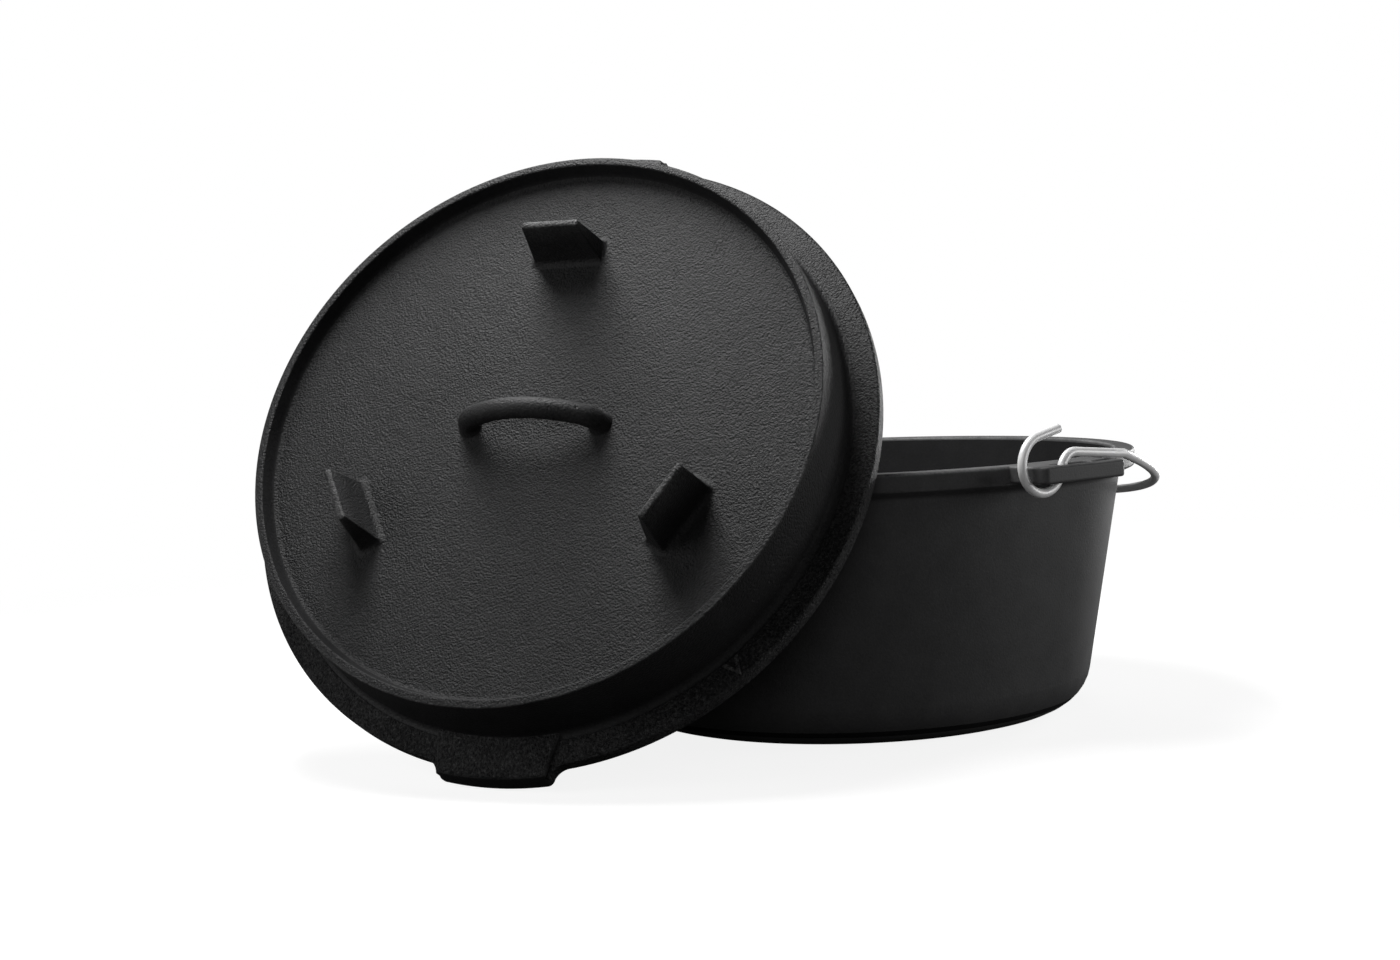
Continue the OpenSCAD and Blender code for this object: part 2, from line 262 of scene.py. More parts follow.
def offset_loop(points, amount):
    """Moves each point of a closed loop to its left: inwards on a loop drawn anticlockwise."""
    moved = []
    for i, point in enumerate(points):
        here = Vector(point[:2])
        a = (here - Vector(points[i - 1][:2])).normalized()
        b = (Vector(points[(i + 1) % len(points)][:2]) - here).normalized()
        side = Vector((-a.y - b.y, a.x + b.x)).normalized()
        stretch = max(LEAST_STRETCH, side.dot(Vector((-a.y, a.x))))
        moved.append(here + side * (amount / stretch))
    return moved


def slab_levels(low, high, edge, bevel):
    """Heights and insets from the underside to the top. A bevel's two ends are eased a little."""
    guard = GUARD_SHARE * edge
    rounding = [(edge * (1 - math.sin(a)), edge * (1 - math.cos(a))) for a in QUARTER]
    levels = [(low, edge + guard)] + [(low + rise, inset) for rise, inset in reversed(rounding)]
    levels += [(low + edge + guard, 0.0)]
    if not bevel:
        levels += [(high - edge - guard, 0.0)] + [(high - fall, inset) for fall, inset in rounding]
        return levels + [(high, edge + guard)]
    drop, inset = bevel
    foot = Vector((high - drop + 2 * EASE, 1.5 * EASE))
    head = Vector((high - 4 * EASE, inset - 3 * EASE))
    levels += [(high - drop - 3 * EASE, 0.0), foot, foot.lerp(head, SLOPE_GUARD)]
    levels += [foot.lerp(head, 1 - SLOPE_GUARD), head, (high - EASE, inset)]
    return levels + [(high, inset + 3 * EASE), (high, inset + 7 * EASE)]


def slab(bm, layers, loops, low, high, edge, wear, grain, bevel=None):
    """A flat casting with rounded edges: loops are its outline, anticlockwise, and its holes.

    A bevel (drop, inset) slopes its upper edge in place of the rounding. Wear is on that edge."""
    levels = slab_levels(low, high, edge, bevel)
    rubbed = (len(levels) - 4, len(levels) - 3)
    bottom, top = [], []
    for loop in loops:
        rings = []
        for n, (z, inset) in enumerate(levels):
            colour_lift = wear if n in rubbed else 0.0
            spots = offset_loop(loop, inset)
            rings.append([add_point(bm, layers, (p.x, p.y, z), colour_lift, grain) for p in spots])
        stack(bm, rings)
        bottom.append(rings[0])
        top.append(rings[-1])
    for rings in (bottom, top):
        flat = [v for ring in rings for v in ring]
        for tri in tessellate_polygon([[v.co for v in ring] for ring in rings]):
            bm.faces.new([flat[i] for i in tri])


print("levels of a rounded and a sloped edge:",
      len(slab_levels(0, 8, 1, None)), len(slab_levels(0, 8, 1, (6, 2))))

# %% [markdown]
# ## Geometry Nodes
# Two rules repeat on this object. Feet, tabs and ears are one shape copied round an axis, and the
# bail is one round section carried along a path. Copies could be made by hand, one by one, but a
# small node tree with named inputs says the rule itself. Instances are made real at the end, and the
# result is baked to a plain mesh, so that nothing is left to evaluate later.


# %% Start and end of a tree
def new_tree(name, size_label, size_kind):
    """A tree with three inputs: a shape, one size and a material."""
    tree = bpy.data.node_groups.new(name, "GeometryNodeTree")
    inputs = (("Geometry", "NodeSocketGeometry"), (size_label, size_kind),
              ("Material", "NodeSocketMaterial"))
    for label, kind in inputs:
        tree.interface.new_socket(label, in_out="INPUT", socket_type=kind)
    tree.interface.new_socket("Geometry", in_out="OUTPUT", socket_type="NodeSocketGeometry")
    return tree, tree.nodes.new("NodeGroupInput"), tree.nodes.new("NodeGroupOutput")


def close_tree(tree, geometry, source, target):
    """Every tree ends the same way: instances made real, then the material."""
    real = tree.nodes.new("GeometryNodeRealizeInstances")
    paint = tree.nodes.new("GeometryNodeSetMaterial")
    tree.links.new(geometry, real.inputs["Geometry"])
    tree.links.new(real.outputs["Geometry"], paint.inputs["Geometry"])
    tree.links.new(source.outputs["Material"], paint.inputs["Material"])
    tree.links.new(paint.outputs["Geometry"], target.inputs["Geometry"])


def math_node(tree, operation, a, b):
    """A Math node of either kind of tree. Its two inputs are numbers or sockets."""
    node = tree.nodes.new("ShaderNodeMath")
    node.operation = operation
    for slot, value in zip(node.inputs, (a, b)):
        if isinstance(value, (int, float)):
            slot.default_value = value
        else:
            tree.links.new(value, slot)
    return node.outputs[0]


print("every tree takes a shape, one size and a material")


# %% Copies round an axis
def copies_tree():
    tree, source, target = new_tree("copies_round_axis", "Count", "NodeSocketInt")
    make, link = tree.nodes.new, tree.links.new
    count = source.outputs["Count"]
    points, index = make("GeometryNodePoints"), make("GeometryNodeInputIndex")
    share = math_node(tree, "DIVIDE", index.outputs["Index"], count)
    angle = math_node(tree, "MULTIPLY", share, 2 * math.pi)
    turned, stamp = make("ShaderNodeCombineXYZ"), make("GeometryNodeInstanceOnPoints")
    link(count, points.inputs["Count"])
    link(angle, turned.inputs["Z"])
    link(points.outputs["Points"], stamp.inputs["Points"])
    link(source.outputs["Geometry"], stamp.inputs["Instance"])
    link(turned.outputs["Vector"], stamp.inputs["Rotation"])
    close_tree(tree, stamp.outputs["Instances"], source, target)
    return tree


COPIES = copies_tree()
print("tree:", COPIES.name)

# %% Wire along a path
WIRE_SIDES = 20


def wire_tree():
    tree, source, target = new_tree("wire_along_path", "Diameter", "NodeSocketFloat")
    make, link = tree.nodes.new, tree.links.new
    path, section = make("GeometryNodeMeshToCurve"), make("GeometryNodeCurvePrimitiveCircle")
    section.inputs["Resolution"].default_value = WIRE_SIDES
    sweep = make("GeometryNodeCurveToMesh")
    sweep.inputs["Fill Caps"].default_value = True
    radius = math_node(tree, "MULTIPLY", source.outputs["Diameter"], 0.5)
    link(source.outputs["Geometry"], path.inputs["Mesh"])
    link(radius, section.inputs["Radius"])
    link(path.outputs["Curve"], sweep.inputs["Curve"])
    link(section.outputs["Curve"], sweep.inputs["Profile Curve"])
    close_tree(tree, sweep.outputs["Mesh"], source, target)
    return tree


WIRE = wire_tree()
print("tree:", WIRE.name)


# %% Baking a tree
def input_id(tree, label):
    sockets = [s for s in tree.interface.items_tree if s.in_out == "INPUT"]
    return next(s.identifier for s in sockets if s.name == label)


def bake(obj, tree, matrix, values):
    """Runs a tree on an object, keeps the result as its plain mesh, and puts it in place."""
    modifier = obj.modifiers.new(tree.name, "NODES")
    modifier.node_group = tree
    for label, value in values.items():
        modifier[input_id(tree, label)] = value
    seen = obj.evaluated_get(bpy.context.evaluated_depsgraph_get())
    mesh = bpy.data.meshes.new_from_object(seen)
    obj.modifiers.remove(modifier)
    obj.data = mesh
    mesh.name = obj.name
    mesh.transform(matrix)
    mesh.update()


print("inputs:", input_id(COPIES, "Count"), input_id(WIRE, "Diameter"))

# %% [markdown]
# ## The iron's finish
# Seasoned cast iron is nearly black and matt. What makes it read as iron is the skin of the sand
# mould: a fine grain of about a millimetre, a few shallow pits, and broad soft unevenness. Cut into
# the mesh it would take millions of faces, and a painted picture of it would show seams. One node
# group makes it from Object coordinates, so that it runs on from piece to piece, and each casting
# sets its own strength.


# %% Shader helpers
def times(tree, a, b):
    return math_node(tree, "MULTIPLY", a, b)


def plus(tree, a, b):
    return math_node(tree, "ADD", a, b)


def noise(tree, place, scale, detail, rough=0.5):
    node = tree.nodes.new("ShaderNodeTexNoise")
    for label, number in (("Scale", scale), ("Detail", detail), ("Roughness", rough)):
        node.inputs[label].default_value = number
    tree.links.new(place, node.inputs["Vector"])
    return node.outputs["Fac"]


def cells(tree, place, scale):
    """Distance to the nearest of many scattered points, as pebbles or as pits."""
    node = tree.nodes.new("ShaderNodeTexVoronoi")
    node.inputs["Scale"].default_value = scale
    tree.links.new(place, node.inputs["Vector"])
    return node.outputs["Distance"]


def ranged(tree, value, low, high, to_low=0.0, to_high=1.0):
    node = tree.nodes.new("ShaderNodeMapRange")
    limits = (("From Min", low), ("From Max", high), ("To Min", to_low), ("To Max", to_high))
    for label, number in limits:
        node.inputs[label].default_value = number
    tree.links.new(value, node.inputs["Value"])
    return node.outputs["Result"]


print("helpers: times, plus, noise, cells, ranged")

# %% [markdown]
# The scales below are waves to the metre: about 1100 for the sand's grain, 28 for the slow swell of
# the whole casting. The group puts out a height for the bump, a mottle for the colour, and painted
# glints: bright dots for the colour where the grain is coarse, standing for the grain catching light.

# %% Group: skin of a sand casting
GRAIN_SCALE, PEBBLE_SCALE, LUMP_SCALE, SWELL_SCALE, PIT_SCALE = 1100.0, 760.0, 170.0, 28.0, 260.0
PEBBLE_DEPTH, LUMP_HEIGHT, SWELL_HEIGHT, PIT_WIDTH = 0.45, 0.22, 1.5, 0.22
PATCH_SCALE, DUST_SCALE = 60.0, 700.0
PATCH_TONE, DUST_TONE, EVEN_TONE = 0.4, 0.7, 0.3
GLINT_DUST_SPAN, COARSE_GRAIN = (0.58, 0.72), (1.0, 2.0)


def sand_skin_group():
    tree = bpy.data.node_groups.new("sand_cast_skin", "ShaderNodeTree")
    tree.interface.new_socket("Place", in_out="INPUT", socket_type="NodeSocketVector")
    for label in ("Grain", "Pits"):
        tree.interface.new_socket(label, in_out="INPUT", socket_type="NodeSocketFloat")
    for label in ("Height", "Mottle", "Painted Glints"):
        tree.interface.new_socket(label, in_out="OUTPUT", socket_type="NodeSocketFloat")
    source, target = tree.nodes.new("NodeGroupInput"), tree.nodes.new("NodeGroupOutput")
    place, coarseness = source.outputs["Place"], source.outputs["Grain"]
    grain = noise(tree, place, GRAIN_SCALE, detail=2.0, rough=0.55)
    pebbles = times(tree, cells(tree, place, PEBBLE_SCALE), PEBBLE_DEPTH)
    lumps = times(tree, noise(tree, place, LUMP_SCALE, detail=2.0), LUMP_HEIGHT)
    swell = times(tree, noise(tree, place, SWELL_SCALE, detail=2.0), SWELL_HEIGHT)
    hole = ranged(tree, cells(tree, place, PIT_SCALE), 0.0, PIT_WIDTH, -1.0, 0.0)
    sandy = plus(tree, math_node(tree, "SUBTRACT", grain, pebbles), lumps)
    deep = times(tree, hole, source.outputs["Pits"])
    height = plus(tree, plus(tree, times(tree, sandy, coarseness), deep), swell)
    tree.links.new(height, target.inputs["Height"])
    patch = noise(tree, place, PATCH_SCALE, detail=4.0, rough=0.6)
    dust = noise(tree, place, DUST_SCALE, detail=2.0, rough=0.6)
    dots = times(tree, math_node(tree, "SUBTRACT", dust, 0.5), coarseness)
    tone = plus(tree, times(tree, patch, PATCH_TONE), times(tree, dots, DUST_TONE))
    tree.links.new(plus(tree, tone, EVEN_TONE), target.inputs["Mottle"])
    # Painted glints: bright dots of colour where coarse grain would catch the light.
    bright = ranged(tree, dust, *GLINT_DUST_SPAN)
    painted_glints = times(tree, bright, ranged(tree, coarseness, *COARSE_GRAIN))
    tree.links.new(painted_glints, target.inputs["Painted Glints"])
    return tree


SAND_SKIN = sand_skin_group()
print("group:", SAND_SKIN.name, "with", len(SAND_SKIN.nodes), "nodes")


# %% Material helpers
def attribute(tree, name):
    node = tree.nodes.new("ShaderNodeAttribute")
    node.attribute_name = name
    return node.outputs["Fac"]


def mixed(tree, factor, a, b):
    """A colour between two others, each given as numbers or as a socket."""
    node = tree.nodes.new("ShaderNodeMix")
    node.data_type = "RGBA"
    tree.links.new(factor, node.inputs["Factor"])
    for slot, value in ((node.inputs["A"], a), (node.inputs["B"], b)):
        if isinstance(value, tuple):
            slot.default_value = value
        else:
            tree.links.new(value, slot)
    return node.outputs["Result"]


def add_bump(tree, shader, height, strength, relief):
    bump = tree.nodes.new("ShaderNodeBump")
    bump.inputs["Strength"].default_value = strength
    bump.inputs["Distance"].default_value = relief * MM
    tree.links.new(height, bump.inputs["Height"])
    tree.links.new(bump.outputs["Normal"], shader.inputs["Normal"])


def new_material(name):
    material = bpy.data.materials.new(name)
    material.use_nodes = True
    tree = material.node_tree
    shader = tree.nodes["Principled BSDF"]
    place = tree.nodes.new("ShaderNodeTexCoord").outputs["Object"]
    return material, tree, shader, place


print("helpers: attribute, mixed, add_bump, new_material")

# %% [markdown]
# The same iron looks different from place to place. The pot's wall is dry and greyer. Its inside,
# and the corner inside the lid's lip, are much darker: painted shade, where the recess and the
# corner lie in shade. The lid's top is dark with a coarse skin, and the lid's underside is smoother
# and lighter. One material with a mask would do as well, but four materials from one function keep
# each finish's numbers in one place.

# %% Iron materials
BODY_MOTTLE, CHAFE_MOTTLE, MATT_MOTTLE = (0.35, 0.68), (0.42, 0.62), (0.3, 0.7)
CHAFE_LEAST, GLINT_SHARE = 0.05, 0.7
MATT_SPREAD, RUB_POLISH = 0.07, 0.15


def seasoned_iron(name, dark, light, worn_and_glint, roughness, shine, pits, relief):
    material, tree, shader, place = new_material(name)
    skin = tree.nodes.new("ShaderNodeGroup")
    skin.node_tree = SAND_SKIN
    skin.inputs["Pits"].default_value = pits
    tree.links.new(place, skin.inputs["Place"])
    tree.links.new(attribute(tree, "grain"), skin.inputs["Grain"])
    mottle = skin.outputs["Mottle"]
    body = mixed(tree, ranged(tree, mottle, *BODY_MOTTLE), dark, light)
    patchy = ranged(tree, mottle, *CHAFE_MOTTLE, CHAFE_LEAST, 1.0)
    chafe = times(tree, attribute(tree, "wear"), patchy)
    # The worn colour takes both the wear and the painted glints.
    colour_lift = math_node(tree, "MAXIMUM", chafe, times(tree, skin.outputs["Painted Glints"], GLINT_SHARE))
    tree.links.new(mixed(tree, colour_lift, body, worn_and_glint), shader.inputs["Base Color"])
    matt = ranged(tree, mottle, *MATT_MOTTLE, roughness - MATT_SPREAD, roughness + MATT_SPREAD)
    polished = math_node(tree, "SUBTRACT", matt, times(tree, colour_lift, RUB_POLISH))
    tree.links.new(polished, shader.inputs["Roughness"])
    shader.inputs["Specular IOR Level"].default_value = shine
    add_bump(tree, shader, skin.outputs["Height"], 1.0, relief)
    return material


POT_IRON = seasoned_iron(
    "pot_seasoned_iron", dark=(0.048, 0.048, 0.049, 1), light=(0.074, 0.074, 0.075, 1),
    worn_and_glint=(0.17, 0.17, 0.17, 1), roughness=0.55, shine=0.28, pits=0.2, relief=0.16)
# Painted shade: a much darker copy of the iron, put inside the pot and in the corner inside the lid's
# lip.
SHADE_IRON = seasoned_iron(
    "iron_painted_shade", dark=(0.009, 0.009, 0.0095, 1), light=(0.017, 0.017, 0.0175, 1),
    worn_and_glint=(0.1, 0.1, 0.1, 1), roughness=0.72, shine=0.11, pits=0.2, relief=0.2)
LID_IRON = seasoned_iron(
    "lid_seasoned_iron", dark=(0.007, 0.007, 0.0075, 1), light=(0.017, 0.017, 0.0175, 1),
    worn_and_glint=(0.1, 0.1, 0.1, 1), roughness=0.56, shine=0.24, pits=0.4, relief=0.85)
LID_UNDER = seasoned_iron(
    "lid_oiled_underside", dark=(0.030, 0.030, 0.031, 1), light=(0.050, 0.050, 0.051, 1),
    worn_and_glint=(0.15, 0.15, 0.15, 1), roughness=0.58, shine=0.28, pits=0.3, relief=0.3)
print("irons:", POT_IRON.name, SHADE_IRON.name, LID_IRON.name, LID_UNDER.name)

# %% [markdown]
# ## The wire's finish
# The bail is bright plated steel. A mirror finish would show the dark iron and turn half black, but
# this plating is cloudy and scatters light, so the shader is only partly metallic. Two noises make
# the clouds and a fine tooth.

# %% Wire material
CLOUD_SCALE, SPECK_SCALE, CLOUD_SPAN = 160.0, 900.0, (0.3, 0.7)
PLATING_DULL, PLATING_BRIGHT = (0.88, 0.88, 0.89, 1), (0.97, 0.97, 0.96, 1)
PLATING_ROUGH, SPECK_ROUGH, PLATING_METAL = (0.34, 0.46), 0.08, 0.2
TOOTH_STRENGTH, TOOTH_RELIEF = 0.5, 0.04


def plated_wire(name):
    material, tree, shader, place = new_material(name)
    cloud = noise(tree, place, CLOUD_SCALE, detail=4.0, rough=0.6)
    speck = noise(tree, place, SPECK_SCALE, detail=2.0)
    plating = mixed(tree, ranged(tree, cloud, *CLOUD_SPAN), PLATING_DULL, PLATING_BRIGHT)
    tree.links.new(plating, shader.inputs["Base Color"])
    haze = ranged(tree, cloud, *CLOUD_SPAN, *PLATING_ROUGH)
    tree.links.new(plus(tree, haze, times(tree, speck, SPECK_ROUGH)), shader.inputs["Roughness"])
    shader.inputs["Metallic"].default_value = PLATING_METAL
    add_bump(tree, shader, speck, TOOTH_STRENGTH, TOOTH_RELIEF)
    return material


BAIL_STEEL = plated_wire("bail_plated_steel")
print("wire:", BAIL_STEEL.name)

# %% [markdown]
# ## The pot
# The pot's body is one round casting. A cylinder could be edited into it loop by loop, but a half
# section turned about the axis reads like the drawing: flat base, wide bottom corner, sloping wall,
# the slope under the thick rim band, the rim's flat top, and back down the inside.

# %% Pot body
RIM_R, POT_H, RIM_H, RIM_STEP, RIM_UNDER = 157.0, 138.0, 9.0, 7.5, 3.5
BASE_R, BASE_CORNER, WALL, BASE_T = 127.0, 24.5, 5.0, 6.0
RIM_ROUND, BAND_ROUND, UNDER_ROUND = 1.7, 1.6, 3.0
RIM_WEAR, BAND_WEAR = 0.9, 0.25
BASE_GRAIN, POT_GRAIN, MOUTH_GRAIN = 0.6, 0.45, 0.4
SLOPE = (RIM_R - RIM_STEP - BASE_R) / (POT_H - RIM_H)
BORE = WALL * math.hypot(1, SLOPE)


def wall_at(z):
    return BASE_R + z * SLOPE


band_z = POT_H - RIM_H
under_z = band_z - RIM_UNDER
pot_shell = lathe("pot_shell", [  # each row: radius, height, rounding, wear, grain
    (0, 0, 0, 0, BASE_GRAIN),
    (BASE_R, 0, BASE_CORNER, 0, POT_GRAIN),
    (wall_at(under_z), under_z, UNDER_ROUND, 0, POT_GRAIN),
    (RIM_R, band_z, BAND_ROUND, BAND_WEAR, POT_GRAIN),
    (RIM_R, POT_H, RIM_ROUND, RIM_WEAR, MOUTH_GRAIN),
    (wall_at(POT_H) - BORE, POT_H, RIM_ROUND, RIM_WEAR, MOUTH_GRAIN),
    (wall_at(BASE_T) - BORE, BASE_T, BASE_CORNER - WALL, 0, MOUTH_GRAIN),
    (0, BASE_T, 0, 0, MOUTH_GRAIN)], as_drawn)
# The pot's inside faces take the darker iron, as painted shade inside the pot.
inside_from, inside_to = BASE_T - 0.5, POT_H - 2.5
for iron in (POT_IRON, SHADE_IRON):
    pot_shell.data.materials.append(iron)
for face in pot_shell.data.polygons:
    r, z = face.center.xy.length / MM, face.center.z / MM
    face.material_index = int(inside_from < z < inside_to and r < wall_at(z) - BORE / 2)
print("pot body:", len(pot_shell.data.polygons), "faces")

# %% [markdown]
# An ear is a flat tongue of iron with a long slot, level with the rim's top. A slot could be cut with
# a Boolean, but that leaves ragged faces and sharp edges. Here the slot is a second loop in the same
# drawing, so its edges are rounded too. One ear is drawn along +X, and the copies tree sets the
# second one on the other side.

# %% Ears
EAR_REACH, EAR_LEN, EAR_T, EAR_CORNER, EAR_SINK = 20.0, 58.6, 8.4, 4.0, 6.0
EAR_EDGE, EAR_WEAR = 1.3, 0.8
SLOT_X, SLOT_W, SLOT_END = 167.5, 7.4, 14.2708
FLUSH = 0.02


def box_loop(x0, y0, x1, y1, radius):
    """A rounded rectangle. It is drawn anticlockwise if it runs up from a lower left corner."""
    corners = ((x0, y0), (x1, y0), (x1, y1), (x0, y1))
    return rounded([(x, y, radius, 0, 0) for x, y in corners], closed=True)


ear_r, ear_y = RIM_R + EAR_REACH, EAR_LEN / 2
ear_root = RIM_R - EAR_SINK
ear_outline = rounded([(ear_root, -ear_y, 0, 0, 0), (ear_r, -ear_y, EAR_CORNER, 0, 0),
                       (ear_r, ear_y, EAR_CORNER, 0, 0), (ear_root, ear_y, 0, 0, 0)], closed=True)
slot_half = SLOT_W / 2
ear_slot = box_loop(SLOT_X - slot_half, SLOT_END, SLOT_X + slot_half, -SLOT_END, slot_half - 0.01)
ear_bm, ear_layers = new_bmesh()
slab(ear_bm, ear_layers, [ear_outline, ear_slot], POT_H - EAR_T, POT_H - FLUSH, EAR_EDGE, EAR_WEAR,
     POT_GRAIN)
pot_ears = finished(ear_bm, "pot_ears", as_drawn, FLAT_CREASE)
bake(pot_ears, COPIES, on_ears, {"Count": 2, "Material": POT_IRON})
print("ears:", len(pot_ears.data.polygons), "faces")

# %% [markdown]
# ## The lid
# The lid's body is round as well, so it is turned in the same way: a hollow underneath, the flat
# flange that sits on the rim, the steep skirt, the narrow lip that keeps coals from rolling off, and
# the plate inside it.

# %% Lid body
FLANGE_R, FLANGE_T, LID_H, LIP_R, LIP_W, LIP_RISE = 166.0, 8.5, 44.5, 149.3, 4.2, 9.0
LIP_DRAFT, SKIRT_FLARE, FILLET, LID_WALL, HOLLOW_CORNER = 2.0, 1.6, 3.5, 6.0, 8.0
PLATE_GRAIN, FLANGE_GRAIN, LIP_GRAIN, SMOOTH_GRAIN = 1.0, 1.3, 0.6, 0.5
PLATE_Z = LID_H - LIP_RISE
skirt_r, lip_in = LIP_R + SKIRT_FLARE, LIP_R - LIP_W
hollow_r, hollow_z = skirt_r - LID_WALL, PLATE_Z - LID_WALL
lid_shell = lathe("lid_shell", [  # each row: radius, height, rounding, wear, grain
    (0, hollow_z, 0, 0, SMOOTH_GRAIN),
    (hollow_r, hollow_z, HOLLOW_CORNER, 0, SMOOTH_GRAIN),
    (hollow_r, 0, 1.0, 0.4, SMOOTH_GRAIN),
    (FLANGE_R, 0, 1.3, 0.3, PLATE_GRAIN),
    (FLANGE_R, FLANGE_T, 1.4, 0.2, FLANGE_GRAIN),
    (skirt_r, FLANGE_T, FILLET, 0, SMOOTH_GRAIN),
    (LIP_R, LID_H, 0.8, 0.7, LIP_GRAIN),
    (lip_in, LID_H, 1.1, 0.05, PLATE_GRAIN),
    (lip_in - LIP_DRAFT, PLATE_Z, FILLET, 0, PLATE_GRAIN),
    (0, PLATE_Z, 0, 0, PLATE_GRAIN)], on_lid)
print("lid body:", len(lid_shell.data.polygons), "faces")

# %% [markdown]
# Three of the irons meet on the lid's body, so its faces are sorted by where they lie on the flat
# drawing. The corner inside the lip takes the darker iron, as painted shade. The flange is lighter
# all over, painted light for the light it catches, and the face of its outer edge is lighter still,
# a painted reflection. Its skin is coarser towards the tab that the lid stands on. Vertex values,
# graded along the lid, show that without a border.

# %% Irons and grain of the lid
NEAR, UNDER_BAND, HOLLOW_SKIN = 0.05, 0.4, 0.5
SHADE_ABOVE_PLATE, SHADE_BELOW_TOP, SHADE_ONTO_PLATE, SHADE_INTO_LIP = 1.0, 0.6, 1.0, 0.3
GRAIN_SLOPE, FLANGE_PAINTED_LIGHT, RIM_PAINTED_REFLECTION = 0.7, 0.2, 0.3


def grade_flange(piece, top_z, inner_r):
    """Grades grain outside a radius; paints light on that top and a reflection on the outer edge."""
    grains, wears = (piece.data.attributes[key].data for key in ("grain", "wear"))
    for v, grain, wear in zip(piece.data.vertices, grains, wears):
        flat = to_flat @ v.co / MM
        r = flat.xy.length
        if flat.z > top_z - NEAR and r > inner_r:
            # Painted light: the top of the flange is lightened all over.
            grain.value = FLANGE_GRAIN - GRAIN_SLOPE * flat.y / FLANGE_R
            wear.value = max(wear.value, FLANGE_PAINTED_LIGHT)
        # Painted reflection: the face of the flange's outer edge is lightened.
        if abs(r - FLANGE_R) < NEAR:
            wear.value = RIM_PAINTED_REFLECTION


for iron in (LID_IRON, LID_UNDER, SHADE_IRON):
    lid_shell.data.materials.append(iron)
for face in lid_shell.data.polygons:
    flat = to_flat @ face.center / MM
    r, z = flat.xy.length, flat.z
    in_hollow = z < hollow_z + HOLLOW_SKIN and r < hollow_r + HOLLOW_SKIN
    underside = z < UNDER_BAND or in_hollow
    beside_lip = lip_in - LIP_DRAFT - SHADE_ONTO_PLATE < r < lip_in + SHADE_INTO_LIP
    # Painted shade: the corner inside the lip takes the darker iron.
    shaded_corner = beside_lip and PLATE_Z + SHADE_ABOVE_PLATE < z < LID_H - SHADE_BELOW_TOP
    face.material_index = 1 if underside else 2 if shaded_corner else 0
grade_flange(lid_shell, FLANGE_T, skirt_r + FILLET - 0.1)
sorted_faces = [face.material_index for face in lid_shell.data.polygons]
print("faces of each iron:", [sorted_faces.count(n) for n in range(3)])

# %% [markdown]
# Two grip tabs stand out from the flange, a little higher than it. They widen towards the skirt and
# their upper edges slope, as a casting does so that it leaves the sand. A small web rounds each
# corner between tab and flange. A Boolean join would need cleaning up, so the tabs and webs simply
# run into the flange. Half an outline is worked out from circles that touch, and mirrored.

# %% Tab outline
TAB_R, TAB_W, TAB_FLARE, TAB_RISE, TAB_CORNER, TAB_FILLET = 173.0, 57.0, 5.0, 1.8, 3.5, 9.0
TAB_ROOT, WEB_IN, WEB_DEEP = 145.8, 4, 0.96
TAB_STEPS, CORNER_STEPS, WEB_STEPS = 10, 6, 8
flank = math.atan(TAB_FLARE / (TAB_R - LIP_R))
outward = Vector((math.cos(flank), -math.sin(flank)))


def beside_flank(offset, reach):
    """The point at a distance from the right flank (plus is outside) and from the lid's axis."""
    t, side = math.tan(flank), TAB_W / 2 + offset / math.cos(flank)
    q, steep = TAB_R - side * t, 1 + t * t
    s = (q - math.sqrt(q * q - steep * (side * side + TAB_R ** 2 - reach ** 2))) / steep
    return Vector((side + s * t, s - TAB_R))


def swept(middle, start, end, steps):
    """Points round a middle from start to end, the short way."""
    a, b = start - middle, end - middle
    first, turn_by = math.atan2(a.y, a.x), -a.angle_signed(b)
    spots = [first + turn_by * k / steps for k in range(steps + 1)]
    return [(middle.x + a.length * math.cos(t), middle.y + a.length * math.sin(t)) for t in spots]


def mirrored(points):
    return [(-x, y) for x, y in reversed(points)]


corner_mid = beside_flank(-TAB_CORNER, TAB_R - TAB_CORNER)
fillet_mid = beside_flank(TAB_FILLET, FLANGE_R + TAB_FILLET)
corner_end = corner_mid * (TAB_R / (TAB_R - TAB_CORNER))
edge_end = fillet_mid * (FLANGE_R / (FLANGE_R + TAB_FILLET))
tab_side = swept(Vector((0, 0)), Vector((0, -TAB_R)), corner_end, TAB_STEPS)
tab_side += swept(corner_mid, corner_end, corner_mid + outward * TAB_CORNER, CORNER_STEPS)[1:]
tab_side += [(TAB_W / 2 + math.tan(flank) * (TAB_R - TAB_ROOT), -TAB_ROOT)]
tab_outline = mirrored(tab_side[1:]) + tab_side
web_start = fillet_mid - outward * TAB_FILLET
web = [(web_start.x - WEB_IN, web_start.y)] + swept(fillet_mid, web_start, edge_end, WEB_STEPS)
web += [tuple(edge_end * WEB_DEEP)]
print("tab outline:", len(tab_outline), "points, web:", len(web), "points")

# %% Tabs
TAB_EDGE, TAB_WEAR, TAB_BEVEL = 1.0, 0.3, (6.5, 2.0)
WEB_EDGE, WEB_DROP, WEB_WEAR, WEB_GRAIN = 0.9, 0.4, 0.1, 2.0
tab_top = FLANGE_T + TAB_RISE
tab_bm, tab_layers = new_bmesh()
slab(tab_bm, tab_layers, [tab_outline], FLUSH, tab_top, TAB_EDGE, TAB_WEAR, SMOOTH_GRAIN, TAB_BEVEL)
for loop in (web, mirrored(web)):
    slab(tab_bm, tab_layers, [loop], WEB_DROP, FLANGE_T - WEB_DROP, WEB_EDGE, WEB_WEAR, WEB_GRAIN)
lid_tabs = finished(tab_bm, "lid_tabs", as_drawn, FLAT_CREASE)
bake(lid_tabs, COPIES, lid_in_metres, {"Count": 2, "Material": LID_IRON})
grade_flange(lid_tabs, tab_top, TAB_ROOT - 1.0)
print("tabs:", len(lid_tabs.data.polygons), "faces")

# %% [markdown]
# Three feet let the lid stand upside down as a griddle. A foot is a curved wedge on a ring round the
# middle. A bent cube would keep one thickness, so a foot is built of level slices, wide at the root
# where it flows into the plate, thin at the tip. The copies tree sets all three.

